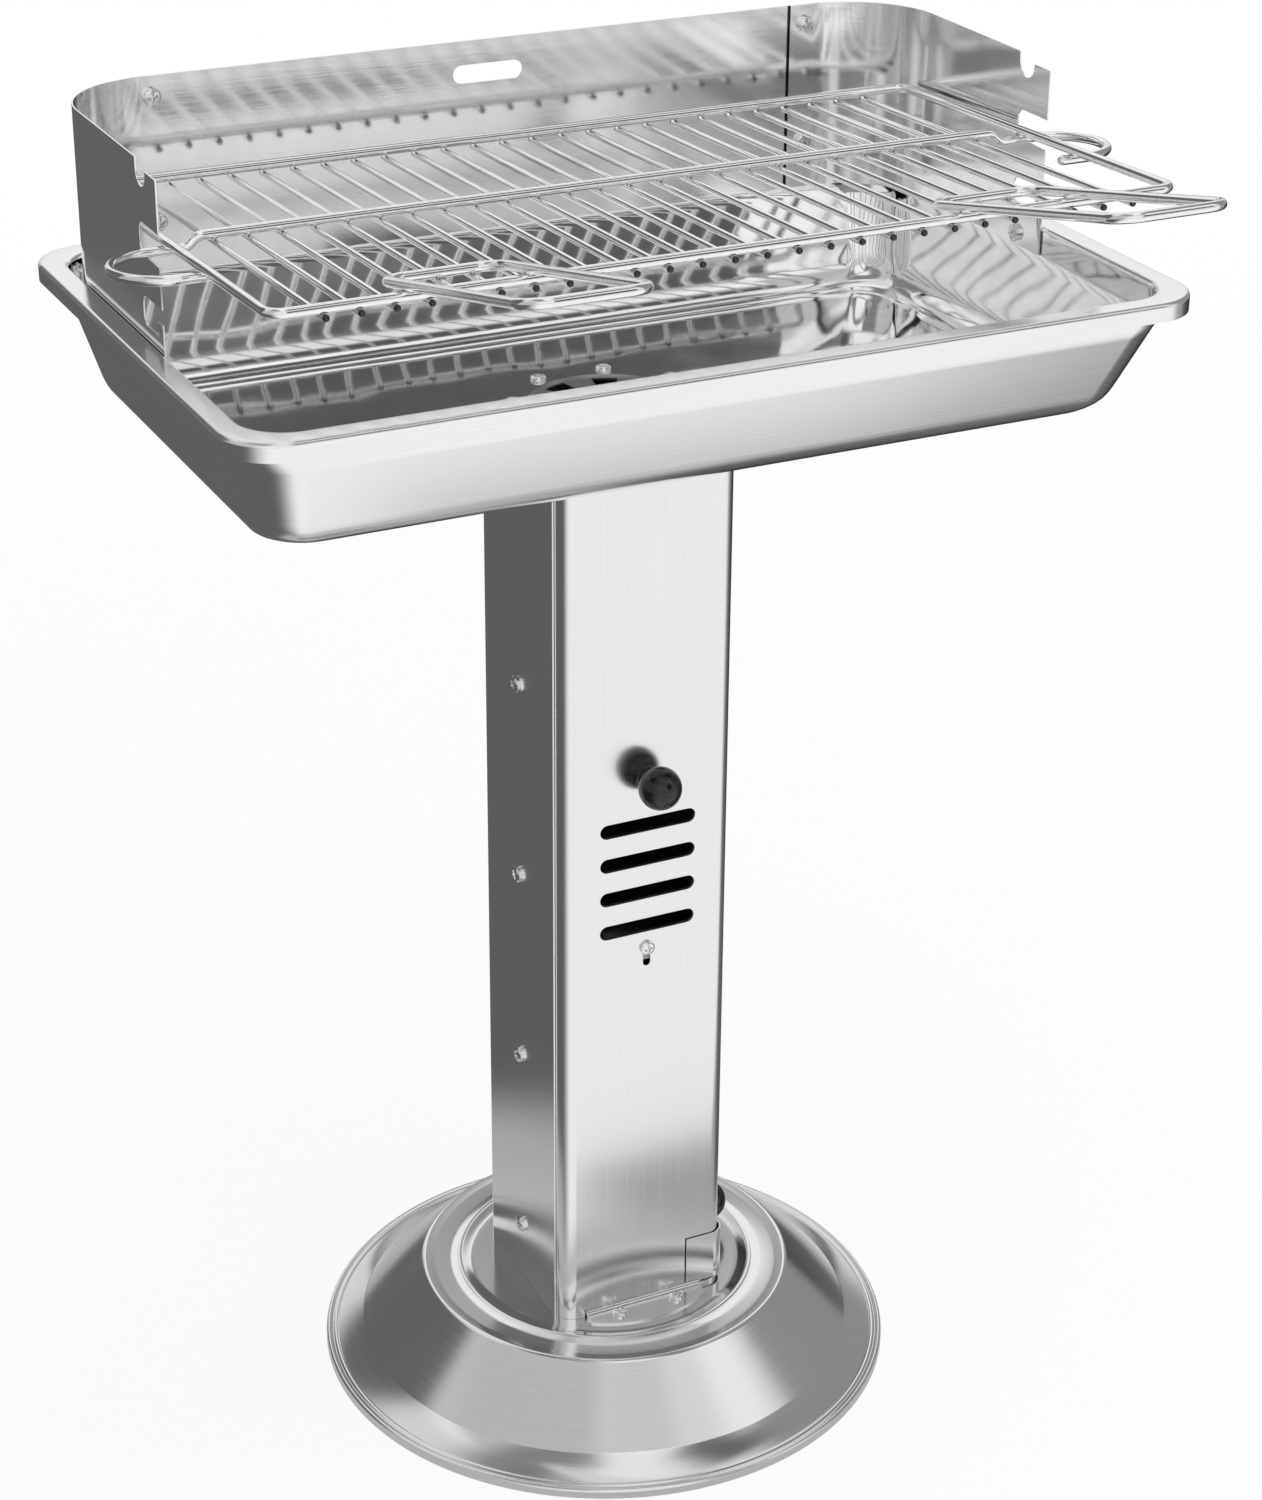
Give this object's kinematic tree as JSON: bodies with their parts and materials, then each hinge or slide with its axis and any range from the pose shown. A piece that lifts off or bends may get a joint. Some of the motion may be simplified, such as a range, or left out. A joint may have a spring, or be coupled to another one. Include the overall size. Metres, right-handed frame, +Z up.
{
  "type": "pedestal charcoal grill",
  "caption": "Pedestal charcoal grill: round pressed base, square column with draught damper and ash drawer, rectangular fire bowl, wind shield and wire grate.",
  "frame": {"origin": "where the column's axis meets the ground", "axes": "+Z up, -Y to the user's side with the vents and the handles, +X to the ash drawer's knob"},
  "size_m": [0.6338, 0.5238, 0.8623],
  "materials": {
    "base_steel": "satin",
    "column_steel": "brushed",
    "bowl_steel": "polished",
    "shield_steel": "polished",
    "inner_steel": "satin",
    "wire_chrome": "polished",
    "fastener_steel": "satin",
    "knob_black": "gloss"
  },
  "bodies": {
    "stand": {"base_dish": "base_steel", "base_screws": "fastener_steel", "base_nuts": "fastener_steel", "column_front": "column_steel", "column_back": "column_steel", "column_screws": "fastener_steel", "column_nuts": "fastener_steel", "draught_plate": "inner_steel", "fire_bowl": "bowl_steel", "bowl_screws": "fastener_steel", "bowl_nuts": "fastener_steel", "shield_left": "shield_steel", "shield_right": "shield_steel", "shield_back": "shield_steel", "shield_joint_screws": "fastener_steel", "shield_joint_nuts": "fastener_steel", "shield_mount_screws": "fastener_steel", "shield_mount_nuts": "fastener_steel"},
    "damper": {"damper_plate": "inner_steel", "damper_knob": "knob_black", "damper_stud": "fastener_steel", "damper_guide_screw": "fastener_steel"},
    "ash_drawer": {"ash_tray": "inner_steel", "ash_drawer_front": "column_steel", "ash_drawer_knob": "knob_black", "ash_drawer_stud": "fastener_steel"},
    "grate": {"grate_frame": "wire_chrome", "grate_cross_wire": "wire_chrome", "grate_rods": "wire_chrome", "grate_handle_left": "wire_chrome", "grate_handle_right": "wire_chrome"}
  },
  "joints": [
    {"name": "damper_slide", "type": "slide", "parent": "stand", "child": "damper", "axis": [0, 0, -1], "range_m": [0, 0.0105]},
    {"name": "ash_drawer_slide", "type": "slide", "parent": "stand", "child": "ash_drawer", "axis": [1, 0, 0], "range_m": [0, 0.07]},
    {"name": "grate_slide", "type": "slide", "parent": "stand", "child": "grate", "axis": [0, -1, 0], "range_m": [-0.009, 0.2]}
  ]
}
